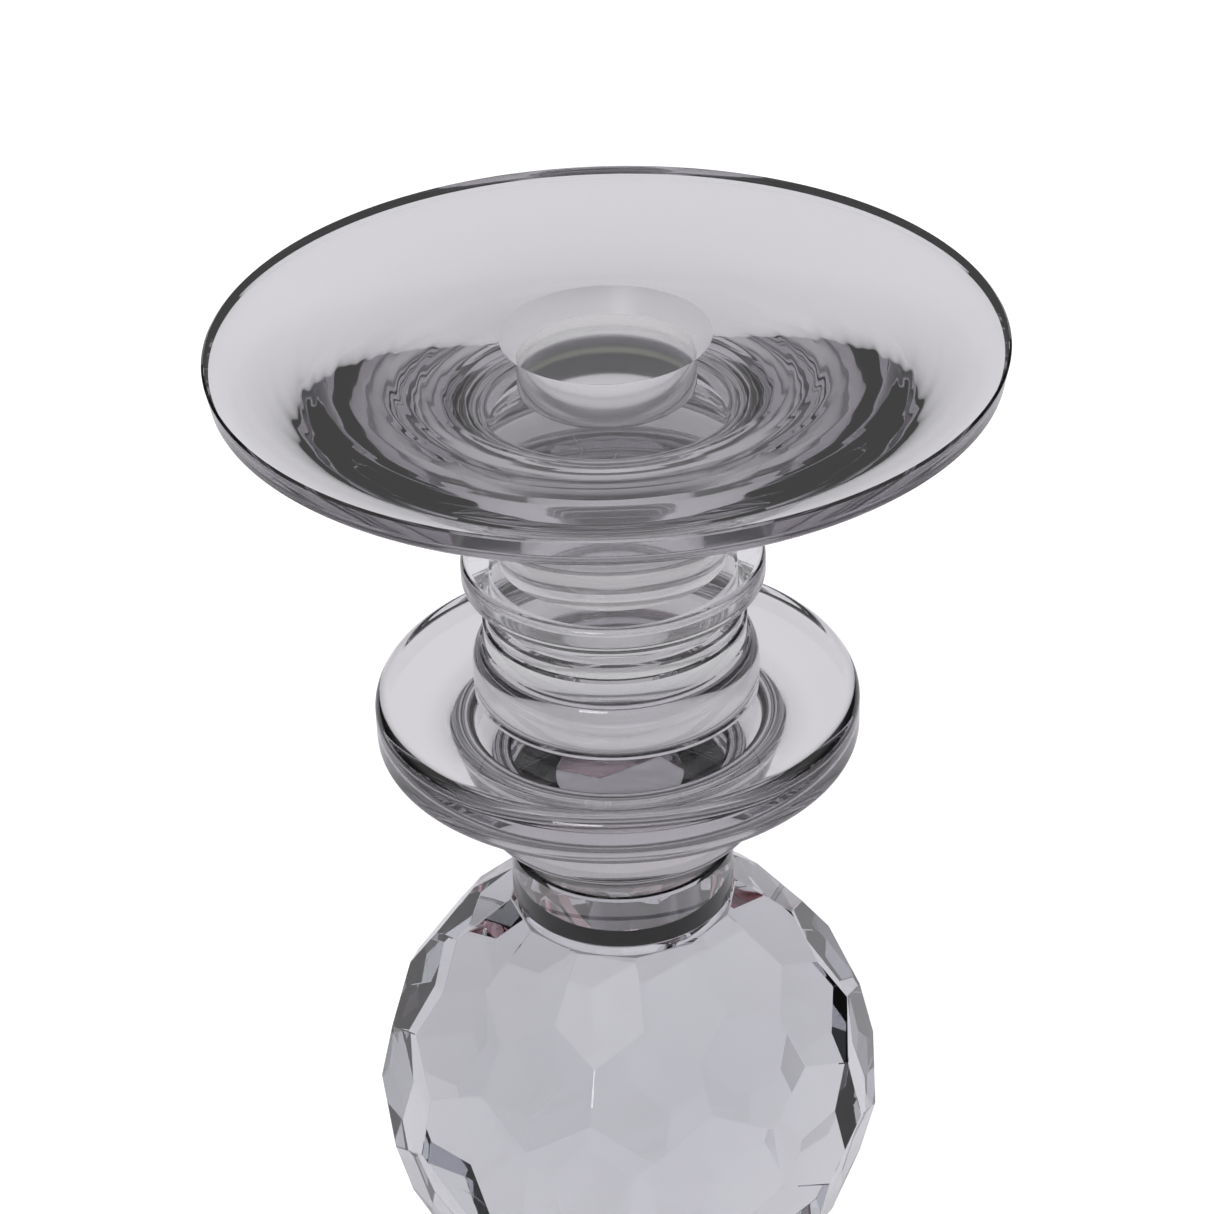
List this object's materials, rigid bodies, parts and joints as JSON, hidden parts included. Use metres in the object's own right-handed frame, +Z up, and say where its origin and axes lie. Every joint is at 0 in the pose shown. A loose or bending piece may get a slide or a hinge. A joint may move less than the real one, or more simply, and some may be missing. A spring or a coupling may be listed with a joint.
{
  "type": "candlestick",
  "caption": "Stacked glass candlestick: wide smoke glass plate with a taper candle hole, turned discs, a faceted clear ball and a flared base.",
  "frame": {"origin": "centre of the table plane under the feet, on the axis of the stack", "axes": "+Z up along the axis of the stack, from the feet to the candle plate; X and Y are equal by symmetry"},
  "size_m": [0.1, 0.1, 0.1999],
  "materials": {
    "smoke_glass": "polished, pale smoke grey",
    "clear_glass": "polished, colourless",
    "rose_glass": "polished, rose red",
    "adhesive": "clear cured adhesive",
    "foot_plastic": "clear soft plastic"
  },
  "bodies": {
    "root": {"candle_plate": "smoke_glass", "middle_saucer": "smoke_glass", "saucer_collar": "smoke_glass", "lower_collar": "smoke_glass", "base_plate": "smoke_glass", "upper_disc": "clear_glass", "neck_spacer": "clear_glass", "bell": "clear_glass", "faceted_ball": "clear_glass", "rose_disc": "rose_glass", "film_rose_disc": "adhesive", "film_lower_collar": "adhesive", "film_ball": "adhesive", "film_collar": "adhesive", "film_saucer": "adhesive", "film_bell": "adhesive", "film_spacer": "adhesive", "film_disc": "adhesive", "film_plate": "adhesive", "foot_1": "foot_plastic", "foot_2": "foot_plastic", "foot_3": "foot_plastic", "foot_4": "foot_plastic"}
  },
  "joints": []
}
